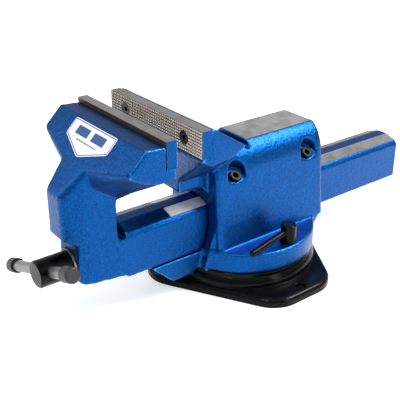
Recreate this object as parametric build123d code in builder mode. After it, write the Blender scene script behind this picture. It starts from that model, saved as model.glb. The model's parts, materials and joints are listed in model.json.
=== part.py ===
"""Bench vise on a swivel base, in millimetres.

The origin is on the swivel axis at the underside of the base. +Z is up, and +Y runs along
the guide bar from the handle to the rear, so the moving jaw is on the -Y side.
"""
import os
from math import atan2, cos, hypot, radians, sin, tan

from build123d import *

os.makedirs("parts", exist_ok=True)

# ------------------------------------------------------------------ driving dimensions
jaw_width = 120.0
jaw_opening = 20.0            # gap between the two plates as drawn
jaw_top = 158.0               # top of the jaw plates above the bench
jaw_face_y = -90.0            # clamping face of the fixed plate

plate_thick = 9.0
plate_height = 20.5
plate_screw_x = 0.32 * jaw_width
jaw_screw_d = 6.0
jaw_screw_head_d = 11.0
jaw_screw_hex_r = 2.2
jaw_screw_length = 16.0
plate_gap = 1.0               # groove behind the fixed plate
lip_setback = 1.5             # castings stop short of the clamping face

bar_width = 38.0
bar_bottom = 36.0
bar_side_height = 34.0        # flank, up to the shoulder
bar_height = 41.5             # up to the ridge
bar_ridge_half = 5.0
bar_shoulder_in = 2.5
bar_shoulder_up = 3.8
bar_rear_y = 182.0
bar_edge = 1.2                # broken lower edges
channel_height = 32.0         # hollow that the screw and its nut stand in

jaw_slope = 45.0              # front face of the moving jaw, degrees
moving_ridge = (-135.0, 155.3)
moving_drop = 4.0             # moving jaw casting below its plate's top
upright_front_y = -176.0
upright_front_half = 11.0
upright_chin_z = 79.5
bearing_face_y = -166.5
bearing_back_y = -128.0
throat_y = -135.0
corbel_y = -117.0
corbel_bottom = 103.5

anvil_half = 17.0
anvil_round = (25.6, 111.8)    # middle of the round shoulder, (x, z)
anvil_top = 121.0
anvil_front_y = -12.0
block_front_y = -52.0
block_rear_y = 65.0
shoulder_half = bar_width / 2 + 11.0
shoulder_z = 99.5
block_foot_half = bar_width / 2 + 16.5
web_front_y = -80.0
web_bottom = 93.0
arch_z = 80.7                 # web's bottom where it meets the block's front

disc_r = 63.0
disc_bottom = 20.5
disc_top = 38.5
foot_front_y = -107.0
foot_bottom = 18.0
foot_half = bar_width / 2 + 1.0
foot_nose_y = -88.0            # where the foot's underside turns level
foot_heel_y = -66.5
sweep_foot_y = -61.0           # front of the casting at the disc
sweep_top_z = 65.0
inside_y = -40.0               # inside the block, where its front pieces end
plinth_width = 64.0
plinth_length = 68.0
plinth_y = 28.0
plinth_corner = 12.0

base_thick = 7.5
base_ear_r = 84.0             # straight end of each ear, from the swivel axis
base_side_r = 68.0            # straight side between two ears
base_corner_r = 28.0
bench_bolt_r = 76.0
bench_hole_d = 9.0
ring_r = 61.5
ring_foot_r = 64.5
swivel_gap = 0.5
slot_r = 54.0                 # circle of the T-slot and the two lock bolts
slot_floor = 4.0
slot_roof = 11.5

spindle_z = 54.5
spindle_d = 16.0
channel_width = spindle_d + 9.0
spindle_rear_y = 105.0
head_d = spindle_d + 5.0
head_length = 26.0
washer_thick = 2.0
washer_d = spindle_d + 8.0
bush_d = spindle_d + 6.0
bush_length = 18.0
collar_d = spindle_d + 7.0
collar_length = 8.0
collar_pin_d = 4.0

tommy_d = 9.0
tommy_length = 117.0
tommy_cap_d = 12.0
tommy_cap_length = 12.0
tommy_offset = -13.5          # middle of the rod from the spindle's axis, as drawn
tommy_angle = 22.0            # lift of the +X end, degrees
tommy_setback = 9.5           # rod's axis behind the head's end face

nut_front_y = -52.0
nut_rear_y = -20.0
nut_side_gap = 0.5
nut_screw_d = 8.0

pin_d = 16.0
pin_head_d = 21.6
pin_head_height = 4.0
circlip_thick = 1.6

lock_bolt_d = 8.0
lock_angle = 5.3              # where the two bolts stand in the ring, degrees
lock_nut_d = 13.0
lock_nut_height = 16.0
lever_d = 5.3
lever_reach = 44.0            # nut's axis to the lever's tip
lever_root_z = 48.0
lever_tip_z = 43.0
bolt_head_width = 11.6
bolt_head_long = 15.0

guide_screw_d = 9.0
guide_hex_r = 2.7
guide_screw_ys = (-31.0, 48.0)
guide_pocket_d = 18.0
guide_tilt = 53.5             # screw's axis above the horizontal, degrees
guide_pocket_floor = 26.0     # from the bar's shoulder, along the screw's axis
guide_screw_top = 28.5
gib_thick = 7.0               # along the screw's axis
gib_front_y = -46.0

# ------------------------------------------------------------------ clearances
slide_gap = 0.3               # bar in its tunnel, each side
gib_gap = 0.1                 # gib over the bar's sloping roof
recess_gap = 0.2              # gib in its recess
run_gap = 0.05                # running fits, on the radius
face_gap = 0.1                # faces that turn against each other

# ------------------------------------------------------------------ derived places
half = jaw_width / 2
moving_face_y = jaw_face_y - jaw_opening
plate_bottom = jaw_top - plate_height
plate_screw_z = jaw_top - plate_height / 2
fixed_seat_y = jaw_face_y + plate_thick
moving_seat_y = moving_face_y - plate_thick
bar_half = bar_width / 2
bar_side_top = bar_bottom + bar_side_height
bar_top = bar_bottom + bar_height
slope_run = bar_half - bar_shoulder_in - bar_ridge_half
slope_rise = bar_height - bar_side_height - bar_shoulder_up
channel_roof = bar_bottom + channel_height
tunnel_floor = bar_bottom - slide_gap
ring_top = disc_bottom - swivel_gap
head_back_y = bearing_face_y - washer_thick - face_gap
head_front_y = head_back_y - head_length
tommy_y = head_front_y + tommy_setback
collar_front_y = bearing_back_y + face_gap
screw_into_jaw = jaw_screw_length - plate_thick + 1.5


def section_at(y):
    """Plane across the bar at a Y, local x along +X and local y along +Z."""
    return Plane.XZ.offset(-y)


def bar_section(gap):
    """Corner points of the bar's outer section, grown by a gap."""
    side = bar_half + gap
    low = bar_bottom - gap
    shoulder = bar_side_top
    return [
        (-side, low), (side, low), (side, shoulder),
        (side - bar_shoulder_in, shoulder + bar_shoulder_up + gap),
        (bar_ridge_half, bar_top + gap), (-bar_ridge_half, bar_top + gap),
        (-side + bar_shoulder_in, shoulder + bar_shoulder_up + gap), (-side, shoulder),
    ]


def jaw_front_z(y):
    """Height of the moving jaw's inclined front face at a Y."""
    return moving_ridge[1] - (moving_ridge[0] - y) * tan(radians(jaw_slope))


def polygon(points):
    """Closed face from corner points, added to the sketch in hand."""
    Polygon(*points, align=None)


def wing(root, root_x, end, end_x):
    """Solid between two side profiles with the same corners: flat where four corners are
    in one plane, and two triangles where they aren't."""
    near = [Vector(root_x, y, z) for y, z in root]
    far = [Vector(end_x, y, z) for y, z in end]
    faces = [Face(Wire.make_polygon(near)), Face(Wire.make_polygon(far))]
    for i in range(len(near)):
        j = (i + 1) % len(near)
        normal = (near[j] - near[i]).cross(far[i] - near[i]).normalized()
        if abs(normal.dot(far[j] - near[i])) < 1e-6:
            faces.append(Face(Wire.make_polygon([near[i], near[j], far[j], far[i]])))
        else:
            faces.append(Face(Wire.make_polygon([near[i], near[j], far[i]])))
            faces.append(Face(Wire.make_polygon([near[j], far[j], far[i]])))
    return Solid(Shell(faces))


# ------------------------------------------------------------------ base
base_corner = (base_side_r - base_ear_r * cos(radians(60))) / sin(radians(60))
base_corners = []
for ear in (0, 120, 240):
    for side in (-1, 1):
        turn = radians(ear) + atan2(side * base_corner, base_ear_r)
        reach = hypot(base_corner, base_ear_r)
        base_corners.append((reach * cos(turn), reach * sin(turn)))
slot_neck = lock_bolt_d / 2 + 0.3
slot_head = bolt_head_width / 2 + 0.5

with BuildPart() as base_plate:
    with BuildSketch() as base_outline:
        polygon(base_corners)
        fillet(base_outline.vertices(), base_corner_r)
    extrude(amount=base_thick)
    fillet(base_plate.faces().sort_by(Axis.Z)[-1].edges(), base_thick / 2)
    with BuildSketch(Plane.XZ):
        with BuildLine():
            Polyline((ring_foot_r, base_thick + 1), (ring_foot_r, base_thick / 2),
                     (0, base_thick / 2), (0, ring_top), (ring_r - 1, ring_top),
                     (ring_r, ring_top - 1), (ring_r, ring_top - 4))
            RadiusArc((ring_r, ring_top - 4), (ring_foot_r, base_thick + 1), 12)
        make_face()
    revolve(axis=Axis.Z)
    # T-slot: a narrow neck over a wide chamber, both rings
    with BuildSketch(Plane.XY.offset(slot_roof)):
        Circle(slot_r + slot_neck)
        Circle(slot_r - slot_neck, mode=Mode.SUBTRACT)
    extrude(amount=ring_top - slot_roof, mode=Mode.SUBTRACT)
    with BuildSketch(Plane.XY.offset(slot_floor)):
        Circle(slot_r + slot_head)
        Circle(slot_r - slot_head, mode=Mode.SUBTRACT)
    extrude(amount=slot_roof - slot_floor, mode=Mode.SUBTRACT)
    # the bolt heads go in from below through two windows in the chamber's floor
    with BuildSketch():
        with Locations((0, slot_r), (0, -slot_r)):
            Rectangle(bolt_head_long + 1, bolt_head_width + 0.8)
    extrude(amount=slot_floor, mode=Mode.SUBTRACT)
    with BuildSketch():
        with PolarLocations(bench_bolt_r, 3):
            Circle(bench_hole_d / 2)
    extrude(amount=base_thick, mode=Mode.SUBTRACT)
    with BuildSketch():
        Circle(pin_d / 2)
    extrude(amount=ring_top, mode=Mode.SUBTRACT)
    with BuildSketch():
        Circle(pin_head_d / 2 + face_gap)
    extrude(amount=pin_head_height + 0.5, mode=Mode.SUBTRACT)
base_plate.part.label = "base_plate"
export_step(base_plate.part, "parts/base_plate.step")

pin_top = tunnel_floor - 1.5
circlip_z = pin_top - circlip_thick - 1.4
circlip_seat_z = circlip_z - swivel_gap
groove_r = pin_d / 2 - 1.0
with BuildPart() as swivel_pin:
    with BuildSketch(Plane.XY.offset(0.5)):
        Circle(pin_head_d / 2)
    extrude(amount=pin_head_height)
    with BuildSketch(Plane.XY.offset(0.5 + pin_head_height)):
        Circle(pin_d / 2)
    extrude(amount=pin_top - 0.5 - pin_head_height)
    chamfer(swivel_pin.faces().sort_by(Axis.Z)[-1].edges(), 0.8)
    with BuildSketch(Plane.XY.offset(circlip_z)):
        Circle(pin_d / 2 + 1)
        Circle(groove_r, mode=Mode.SUBTRACT)
    extrude(amount=circlip_thick, mode=Mode.SUBTRACT)
swivel_pin.part.label = "swivel_pin"
export_step(swivel_pin.part, "parts/swivel_pin.step")

with BuildPart() as swivel_circlip:
    with BuildSketch(Plane.XY.offset(circlip_z)):
        Circle(pin_head_d / 2 - 0.5)
        Circle(groove_r, mode=Mode.SUBTRACT)
        with Locations((0, -pin_d / 2)):
            Rectangle(4, pin_d, mode=Mode.SUBTRACT)
    extrude(amount=circlip_thick)
swivel_circlip.part.label = "swivel_circlip"
export_step(swivel_circlip.part, "parts/swivel_circlip.step")

# ------------------------------------------------------------------ fixed jaw and body
# Guide screws lean inwards over the bar's sloping roof. Their axes start at the middle of
# that slope and lie in the plane across the bar.
slope_x = bar_ridge_half + slope_run / 2
slope_z = bar_top - slope_rise / 2
lean = radians(guide_tilt)


def along_guide(side, distance):
    """Point on a guide screw's axis, (x, z), at a distance from the bar's slope."""
    return (side * (slope_x + distance * cos(lean)), slope_z + distance * sin(lean))


def guide_plane(side, y, distance):
    """Plane square to a guide screw, facing outwards."""
    x, z = along_guide(side, distance)
    return Plane((x, y, z), x_dir=(0, 1, 0), z_dir=(side * cos(lean), 0, sin(lean)))


def roof_z(x):
    """Height of the bar's sloping roof at an X on its +X side."""
    return bar_top - (x - bar_ridge_half) * slope_rise / slope_run


def gib_outline(side, gap):
    """Corners of the gib's section, grown by a gap everywhere but towards the bar."""
    top_x, top_z = along_guide(1, gib_thick + gap)
    inner = (top_x - (6.2 + gap) * sin(lean), top_z + (6.2 + gap) * cos(lean))
    outer = (top_x + (4.6 + gap) * sin(lean), top_z - (4.6 + gap) * cos(lean))
    foot_in = bar_ridge_half + 1.0 - gap
    foot_out = bar_half - bar_shoulder_in - 0.4 + gap
    points = [(foot_in, roof_z(foot_in) + gib_gap), (foot_out, roof_z(foot_out) + gib_gap),
              outer, inner]
    return [(side * x, z) for x, z in points]


# side profiles, (y, z): the same corners in the same order at the jaw's end and at its root
back_slope = (fixed_seat_y + 3.2, jaw_top - 0.5)
tip = (-49.6, 138.8)
back_fall = (back_slope[1] - tip[1]) / (tip[0] - back_slope[0])


def back_z(y):
    """Height of the fixed jaw's back slope at a Y."""
    return back_slope[1] - back_fall * (y - back_slope[0])


fixed_end = [
    (fixed_seat_y, plate_bottom), (jaw_face_y + lip_setback, plate_bottom),
    (jaw_face_y + lip_setback, plate_bottom - 2.6), (-80.0, 130.3), (-64.5, 132.0),
    (tip[0] - 1.5, tip[1] - 1.8), tip, back_slope, (fixed_seat_y, back_slope[1]),
]
root_tip_y = back_slope[0] + (back_slope[1] - anvil_top) / back_fall
fixed_root = [
    (fixed_seat_y, plate_bottom), (jaw_face_y + lip_setback, plate_bottom),
    (jaw_face_y + lip_setback, plate_bottom - 3.7), (web_front_y, corbel_bottom),
    (block_front_y - 6, corbel_bottom), (block_front_y + 4, corbel_bottom),
    (root_tip_y, anvil_top - 0.6), back_slope, (fixed_seat_y, back_slope[1]),
]
block_outline = [(anvil_half, anvil_top), (shoulder_half, shoulder_z),
                 (block_foot_half, disc_top)]
nut_screw_ys = (nut_front_y + 8, nut_rear_y - 8)
screw_head_d = 13.0
screw_head_height = 8.0

fixed_wing = wing(fixed_root, bar_half, fixed_end, half)
with BuildPart() as body_casting:
    # block under the anvil: flat top, round shoulders, flanks that widen downwards
    with BuildSketch(section_at(block_front_y)):
        with BuildLine():
            Line((-anvil_half, anvil_top), (anvil_half, anvil_top))
            ThreePointArc((anvil_half, anvil_top), anvil_round, (shoulder_half, shoulder_z))
            Polyline((shoulder_half, shoulder_z), (block_foot_half, disc_top),
                     (-block_foot_half, disc_top), (-shoulder_half, shoulder_z))
            ThreePointArc((-shoulder_half, shoulder_z), (-anvil_round[0], anvil_round[1]),
                          (-anvil_half, anvil_top))
        make_face()
    extrude(amount=block_front_y - block_rear_y)
    end_faces = body_casting.faces().filter_by(Axis.Y)
    fillet(end_faces.edges().filter_by(lambda e: e.center().Z > disc_top + 1), 3.5)
    # swivel disc, with the block's rear corners running down into it
    with BuildSketch(Plane.XY.offset(disc_bottom)):
        Circle(disc_r)
    extrude(amount=disc_top - disc_bottom)
    chamfer(body_casting.edges().filter_by(GeomType.CIRCLE).filter_by(
        lambda e: abs(e.center().Z - disc_bottom) < 0.1), 1.0)
    with BuildSketch(Plane.XY.offset(disc_bottom + 1)):
        with Locations((0, plinth_y)):
            RectangleRounded(plinth_width, plinth_length, plinth_corner)
    with BuildSketch(Plane.XY.offset(disc_top)):
        with Locations((0, (block_front_y + block_rear_y) / 2)):
            RectangleRounded(2 * block_foot_half, block_rear_y - block_front_y, 8)
    loft()
    # the casting sweeps forward from the block's front into the foot
    with BuildSketch(Plane.YZ):
        polygon([(block_front_y + 1, sweep_top_z), (block_front_y - 1.5, sweep_top_z - 15),
                 (sweep_foot_y + 1, disc_bottom + 7.5), (sweep_foot_y, disc_bottom),
                 (inside_y, disc_bottom), (inside_y, sweep_top_z)])
    extrude(amount=shoulder_half - 1.5, both=True)
    # foot under the bar
    with BuildSketch(Plane.YZ):
        polygon([(foot_front_y, tunnel_floor), (foot_nose_y, foot_bottom),
                 (foot_heel_y, foot_bottom), (foot_heel_y + 2.5, disc_bottom),
                 (inside_y, disc_bottom), (inside_y, tunnel_floor)])
    extrude(amount=foot_half, both=True)
    # jaw: its middle, and a wing out to each end
    with BuildSketch(Plane.YZ):
        polygon(fixed_root)
    extrude(amount=bar_half, both=True)
    add(fixed_wing)
    add(fixed_wing.mirror(Plane.YZ))
    # web from the jaw down over the bar
    with BuildSketch(Plane.YZ):
        with BuildLine():
            Polyline((inside_y, arch_z), (inside_y, corbel_bottom + 3),
                     (web_front_y, corbel_bottom + 3),
                     (web_front_y, web_bottom), (block_front_y - 12, web_bottom))
            RadiusArc((block_front_y - 12, web_bottom), (block_front_y, arch_z), 12)
            Line((block_front_y, arch_z), (inside_y, arch_z))
        make_face()
    extrude(amount=bar_half, both=True)
    # valley between the jaw's back slope and the anvil's front face
    with BuildSketch(Plane.YZ):
        polygon([(anvil_front_y, back_z(anvil_front_y)), (anvil_front_y, anvil_top + 1),
                 (root_tip_y - 6, back_z(root_tip_y - 6))])
    extrude(amount=shoulder_half + 2, both=True, mode=Mode.SUBTRACT)
    # groove behind the plate
    with BuildSketch(Plane.YZ):
        with Locations((fixed_seat_y + plate_gap / 2, back_slope[1])):
            Rectangle(plate_gap, 2.4)
    extrude(amount=half, both=True, mode=Mode.SUBTRACT)
    # tunnel for the bar, right through, and the gibs' recesses open at the rear
    with BuildSketch(section_at(foot_front_y - 1)):
        polygon(bar_section(slide_gap))
    extrude(amount=foot_front_y - 1 - block_rear_y - 20, mode=Mode.SUBTRACT)
    with BuildSketch(section_at(gib_front_y)):
        polygon(gib_outline(1, recess_gap))
        polygon(gib_outline(-1, recess_gap))
    extrude(amount=gib_front_y - block_rear_y - 1, mode=Mode.SUBTRACT)
    # pockets and holes of the guide screws
    for side in (1, -1):
        for y in guide_screw_ys:
            with BuildSketch(guide_plane(side, y, guide_pocket_floor)):
                Circle(guide_pocket_d / 2)
            extrude(amount=30, mode=Mode.SUBTRACT)
            with BuildSketch(guide_plane(side, y, gib_thick)):
                Circle(guide_screw_d / 2 + run_gap)
            extrude(amount=30, mode=Mode.SUBTRACT)
    # plate screws
    with BuildSketch(section_at(fixed_seat_y - 1)):
        with Locations((-plate_screw_x, plate_screw_z), (plate_screw_x, plate_screw_z)):
            Circle(jaw_screw_d / 2 + run_gap)
    extrude(amount=-screw_into_jaw, mode=Mode.SUBTRACT)
    # swivel pin and its circlip, nut screws with sunk heads, lock bolts
    with BuildSketch(Plane.XY.offset(disc_bottom)):
        Circle(pin_d / 2 + run_gap)
    extrude(amount=disc_top - disc_bottom, mode=Mode.SUBTRACT)
    with BuildSketch(Plane.XY.offset(circlip_seat_z)):
        Circle(pin_head_d / 2 + 1)
    extrude(amount=10, mode=Mode.SUBTRACT)
    with BuildSketch(Plane.XY.offset(disc_bottom)):
        for y in nut_screw_ys:
            with Locations((0, y)):
                Circle(nut_screw_d / 2 + run_gap)
        with PolarLocations(slot_r, 2, start_angle=lock_angle):
            Circle(lock_bolt_d / 2 + 0.25)
    extrude(amount=disc_top - disc_bottom + 1, mode=Mode.SUBTRACT)
    with BuildSketch(Plane.XY.offset(disc_bottom)):
        for y in nut_screw_ys:
            with Locations((0, y)):
                Circle(screw_head_d / 2 + 0.3)
    extrude(amount=screw_head_height + 0.4, mode=Mode.SUBTRACT)
body_casting.part.label = "body_casting"
export_step(body_casting.part, "parts/body_casting.step")

for side, name in ((1, "guide_shoe_right"), (-1, "guide_shoe_left")):
    with BuildPart() as guide_shoe:
        with BuildSketch(section_at(gib_front_y + recess_gap)):
            polygon(gib_outline(side, 0))
        extrude(amount=gib_front_y + recess_gap - block_rear_y + 1)
    guide_shoe.part.label = name
    export_step(guide_shoe.part, f"parts/{name}.step")

for side, name in ((1, "guide_screws_right"), (-1, "guide_screws_left")):
    with BuildPart() as guide_screws:
        for y in guide_screw_ys:
            with BuildSketch(guide_plane(side, y, gib_thick)):
                Circle(guide_screw_d / 2)
            extrude(amount=guide_screw_top - gib_thick)
            with BuildSketch(guide_plane(side, y, guide_screw_top)):
                RegularPolygon(guide_hex_r, 6)
            extrude(amount=-5, mode=Mode.SUBTRACT)
    guide_screws.part.label = name
    export_step(guide_screws.part, f"parts/{name}.step")

# ------------------------------------------------------------------ moving jaw
ridge_y, ridge_z = moving_ridge
corner_y = -149.0
moving_end = [
    (moving_seat_y, plate_bottom), (moving_face_y - lip_setback, plate_bottom),
    (moving_face_y - lip_setback, 129.2), (-124.8, 128.8), (-137.2, 132.6),
    (corner_y - 0.2, jaw_front_z(corner_y) - 1.8), (corner_y, jaw_front_z(corner_y)),
    moving_ridge, (moving_seat_y, jaw_top - moving_drop),
]
neck_y = -159.0
wing_root_x = bar_half - 4.0
moving_root = [
    (moving_seat_y, plate_bottom), (moving_face_y - lip_setback, plate_bottom),
    (moving_face_y - lip_setback, 128.6), (corbel_y, corbel_bottom + 3),
    (throat_y, corbel_bottom), (neck_y + 4, 117.5), (neck_y, jaw_front_z(neck_y)),
    moving_ridge, (moving_seat_y, jaw_top - moving_drop),
]
bearing_foot_z = spindle_z - bush_d / 2 - 0.5
inside_bar_y = -100.0
upright_profile = [
    (moving_seat_y, jaw_top - moving_drop), moving_ridge,
    (upright_front_y, jaw_front_z(upright_front_y)), (upright_front_y, upright_chin_z),
    (bearing_face_y, upright_chin_z - 5), (bearing_face_y, bearing_foot_z),
    (bearing_face_y + 4, bearing_foot_z - 2),
    (bearing_back_y, bar_bottom + 2.2), (bearing_back_y + 2, bar_bottom),
    (inside_bar_y, bar_bottom), (inside_bar_y, bar_side_top), (throat_y + 4, bar_side_top),
]

moving_wing = wing(moving_root, wing_root_x, moving_end, half)
with BuildPart() as moving_jaw:
    # upright: flat sides that close in towards the front
    with BuildSketch(Plane.YZ):
        polygon(upright_profile + [(throat_y + 1.2, 71.6), (throat_y, 76.0),
                                   (throat_y, corbel_bottom), (corbel_y, corbel_bottom + 3),
                                   (moving_face_y - lip_setback, 128.6),
                                   (moving_face_y - lip_setback, plate_bottom),
                                   (moving_seat_y, plate_bottom)])
    extrude(amount=bar_half, both=True)
    with BuildSketch():
        polygon([(-bar_half, -90), (-bar_half, -130), (2 - bar_half, -160),
                 (-upright_front_half, upright_front_y - 0.1),
                 (upright_front_half, upright_front_y - 0.1), (bar_half - 2, -160),
                 (bar_half, -130), (bar_half, -90)])
    extrude(amount=jaw_top + 10, mode=Mode.INTERSECT)
    # round the upright's outline where it shows as a soft casting edge
    fillet(moving_jaw.edges().filter_by(lambda e: e.center().Z > 60 and e.center().Y < -150
                                        and abs(e.center().X) > 8), 2.5)
    add(moving_wing)
    add(moving_wing.mirror(Plane.YZ))
    # guide bar
    with BuildSketch(section_at(bearing_back_y)):
        polygon(bar_section(0))
    extrude(amount=bearing_back_y - bar_rear_y)
    chamfer(moving_jaw.edges().filter_by(Axis.Y).filter_by(
        lambda e: abs(e.center().Z - bar_bottom) < 0.1 and e.length > 200), bar_edge)
    # hollow for the screw and its nut, open below and at the rear
    with BuildSketch(section_at(bearing_back_y)):
        with Locations((0, bar_bottom + channel_height / 2 - 1)):
            Rectangle(channel_width, channel_height + 2)
    extrude(amount=bearing_back_y - bar_rear_y - 1, mode=Mode.SUBTRACT)
    # screw's bore, with a wider seat for the bush
    with BuildSketch(section_at(bearing_face_y - 1)):
        with Locations((0, spindle_z)):
            Circle(spindle_d / 2 + 0.4)
    extrude(amount=bearing_face_y - 1 - bearing_back_y - 1, mode=Mode.SUBTRACT)
    with BuildSketch(section_at(bearing_face_y - 1)):
        with Locations((0, spindle_z)):
            Circle(bush_d / 2)
    extrude(amount=-1 - bush_length, mode=Mode.SUBTRACT)
    with BuildSketch(section_at(moving_seat_y + 1)):
        with Locations((-plate_screw_x, plate_screw_z), (plate_screw_x, plate_screw_z)):
            Circle(jaw_screw_d / 2 + run_gap)
    extrude(amount=screw_into_jaw, mode=Mode.SUBTRACT)
moving_jaw.part.label = "moving_jaw"
export_step(moving_jaw.part, "parts/moving_jaw.step")

with BuildPart() as spindle_bush:
    with BuildSketch(section_at(bearing_face_y)):
        with Locations((0, spindle_z)):
            Circle(bush_d / 2)
            Circle(spindle_d / 2 + run_gap, mode=Mode.SUBTRACT)
    extrude(amount=-bush_length)
spindle_bush.part.label = "spindle_bush"
export_step(spindle_bush.part, "parts/spindle_bush.step")

# ------------------------------------------------------------------ jaw plates and screws
for name, face_y, facing in (("fixed_jaw", jaw_face_y, -1), ("moving_jaw", moving_face_y, 1)):
    face = Plane((0, face_y, plate_screw_z), x_dir=(-facing, 0, 0), z_dir=(0, facing, 0))
    with BuildPart() as jaw_plate:
        with BuildSketch(face):
            Rectangle(jaw_width, plate_height)
        extrude(amount=-plate_thick)
        with Locations(face):
            with Locations((-plate_screw_x, 0), (plate_screw_x, 0)):
                CounterSinkHole(jaw_screw_d / 2 + run_gap, jaw_screw_head_d / 2 + 0.4,
                                counter_sink_angle=90)
    jaw_plate.part.label = f"{name}_plate"
    export_step(jaw_plate.part, f"parts/{name}_plate.step")

    head_top = 0.8
    head_r = jaw_screw_head_d / 2 + 0.4 - head_top - run_gap
    cone = head_r - jaw_screw_d / 2
    with BuildPart() as jaw_screws:
        with BuildSketch(Plane.XZ):
            polygon([(0, -head_top), (head_r, -head_top),
                     (jaw_screw_d / 2, -head_top - cone), (jaw_screw_d / 2, -jaw_screw_length),
                     (0, -jaw_screw_length)])
        revolve(axis=Axis.Z)
        with BuildSketch(Plane.XY.offset(-head_top)):
            RegularPolygon(jaw_screw_hex_r, 6)
        extrude(amount=-3, mode=Mode.SUBTRACT)
    turned = face.location
    placed = [turned * Location((x, 0, 0)) * jaw_screws.part
              for x in (-plate_screw_x, plate_screw_x)]
    screw_pair = Compound(label=f"{name}_screws", children=placed)
    export_step(screw_pair, f"parts/{name}_screws.step")

# ------------------------------------------------------------------ screw, collar and nut
with BuildPart() as spindle:
    with BuildSketch(Plane.XY):
        with BuildLine():
            Polyline((0, head_front_y), (head_d / 2 - 1.2, head_front_y),
                     (head_d / 2, head_front_y + 1.2), (head_d / 2, head_back_y),
                     (spindle_d / 2, head_back_y), (spindle_d / 2, spindle_rear_y - 1.5),
                     (spindle_d / 2 - 1.5, spindle_rear_y), (0, spindle_rear_y), close=True)
        make_face()
    revolve(axis=Axis.Y)
    with BuildSketch(Plane((0, tommy_y, 0), x_dir=(0, 1, 0),
                           z_dir=(cos(radians(tommy_angle)), 0, sin(radians(tommy_angle))))):
        Circle(tommy_d / 2 + run_gap)
    extrude(amount=head_d, both=True, mode=Mode.SUBTRACT)
    with BuildSketch(Plane.YZ):
        with Locations((collar_front_y + collar_length / 2, 0)):
            Circle(collar_pin_d / 2)
    extrude(amount=head_d, both=True, mode=Mode.SUBTRACT)
spindle_placed = Location((0, 0, spindle_z)) * spindle.part
spindle_placed.label = "spindle"
export_step(spindle_placed, "parts/spindle.step")

with BuildPart() as thrust_washer:
    with BuildSketch(section_at(head_back_y)):
        with Locations((0, spindle_z)):
            Circle(washer_d / 2)
            Circle(spindle_d / 2, mode=Mode.SUBTRACT)
    extrude(amount=-washer_thick)
thrust_washer.part.label = "thrust_washer"
export_step(thrust_washer.part, "parts/thrust_washer.step")

with BuildPart() as retaining_collar:
    with BuildSketch(section_at(collar_front_y)):
        with Locations((0, spindle_z)):
            Circle(collar_d / 2)
            Circle(spindle_d / 2, mode=Mode.SUBTRACT)
    extrude(amount=-collar_length)
    with BuildSketch(Plane.YZ):
        with Locations((collar_front_y + collar_length / 2, spindle_z)):
            Circle(collar_pin_d / 2)
    extrude(amount=collar_d, both=True, mode=Mode.SUBTRACT)
retaining_collar.part.label = "retaining_collar"
export_step(retaining_collar.part, "parts/retaining_collar.step")

with BuildPart() as collar_pin:
    with BuildSketch(Plane.YZ):
        with Locations((collar_front_y + collar_length / 2, spindle_z)):
            Circle(collar_pin_d / 2)
    extrude(amount=collar_d / 2 - 0.4, both=True)
collar_pin.part.label = "collar_pin"
export_step(collar_pin.part, "parts/collar_pin.step")

with BuildPart() as spindle_nut:
    with BuildSketch(section_at(nut_front_y)):
        with Locations((0, (tunnel_floor + channel_roof - 1) / 2)):
            Rectangle(channel_width - 2 * nut_side_gap, channel_roof - 1 - tunnel_floor)
    extrude(amount=nut_front_y - nut_rear_y)
    chamfer(spindle_nut.edges().filter_by(Axis.Y).group_by(Axis.Z)[-1], 4)
    with BuildSketch(section_at(nut_front_y)):
        with Locations((0, spindle_z)):
            Circle(spindle_d / 2 + run_gap)
    extrude(amount=nut_front_y - nut_rear_y, mode=Mode.SUBTRACT)
    with BuildSketch(Plane.XY.offset(tunnel_floor)):
        for y in nut_screw_ys:
            with Locations((0, y)):
                Circle(nut_screw_d / 2 + run_gap)
    extrude(amount=7, mode=Mode.SUBTRACT)
spindle_nut.part.label = "spindle_nut"
export_step(spindle_nut.part, "parts/spindle_nut.step")

with BuildPart() as nut_screws:
    with BuildSketch(Plane.XY.offset(disc_bottom + 0.4)):
        for y in nut_screw_ys:
            with Locations((0, y)):
                Circle(screw_head_d / 2)
    extrude(amount=screw_head_height)
    with BuildSketch(Plane.XY.offset(disc_bottom + 0.4)):
        for y in nut_screw_ys:
            with Locations((0, y)):
                Circle(nut_screw_d / 2)
    extrude(amount=tunnel_floor - disc_bottom + 6)
    with BuildSketch(Plane.XY.offset(disc_bottom + 0.4)):
        for y in nut_screw_ys:
            with Locations((0, y)):
                RegularPolygon(3.4, 6)
    extrude(amount=4, mode=Mode.SUBTRACT)
nut_screws.part.label = "nut_screws"
export_step(nut_screws.part, "parts/nut_screws.step")

# ------------------------------------------------------------------ tommy bar
tommy_turn = radians(tommy_angle)


def on_tommy(distance):
    """Plane square to the rod at a distance from the spindle's axis, facing its +X end."""
    return Plane((distance * cos(tommy_turn), tommy_y, spindle_z + distance * sin(tommy_turn)),
                 x_dir=(0, 1, 0), z_dir=(cos(tommy_turn), 0, sin(tommy_turn)))


rod_start = tommy_offset - tommy_length / 2
rod_end = tommy_offset + tommy_length / 2
cap_wall = 2.0
with BuildPart() as tommy_bar:
    with BuildSketch(on_tommy(rod_start + cap_wall)):
        Circle(tommy_d / 2)
    extrude(amount=tommy_length - 2 * cap_wall)
tommy_bar.part.label = "tommy_bar"
export_step(tommy_bar.part, "parts/tommy_bar.step")

for name, start, inward in (("tommy_cap_far", rod_start, 1), ("tommy_cap_near", rod_end, -1)):
    with BuildPart() as tommy_cap:
        with BuildSketch(on_tommy(start)):
            Circle(tommy_cap_d / 2)
        extrude(amount=inward * tommy_cap_length)
        cap_edges = tommy_cap.edges().filter_by(GeomType.CIRCLE)
        fillet(cap_edges.sort_by(Axis.X)[0 if inward > 0 else -1], 2.0)
        with BuildSketch(on_tommy(start + inward * cap_wall)):
            Circle(tommy_d / 2)
        extrude(amount=inward * tommy_cap_length, mode=Mode.SUBTRACT)
    tommy_cap.part.label = name
    export_step(tommy_cap.part, f"parts/{name}.step")

# ------------------------------------------------------------------ swivel locks
bolt_top = disc_top + lock_nut_height - 3.0


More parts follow.
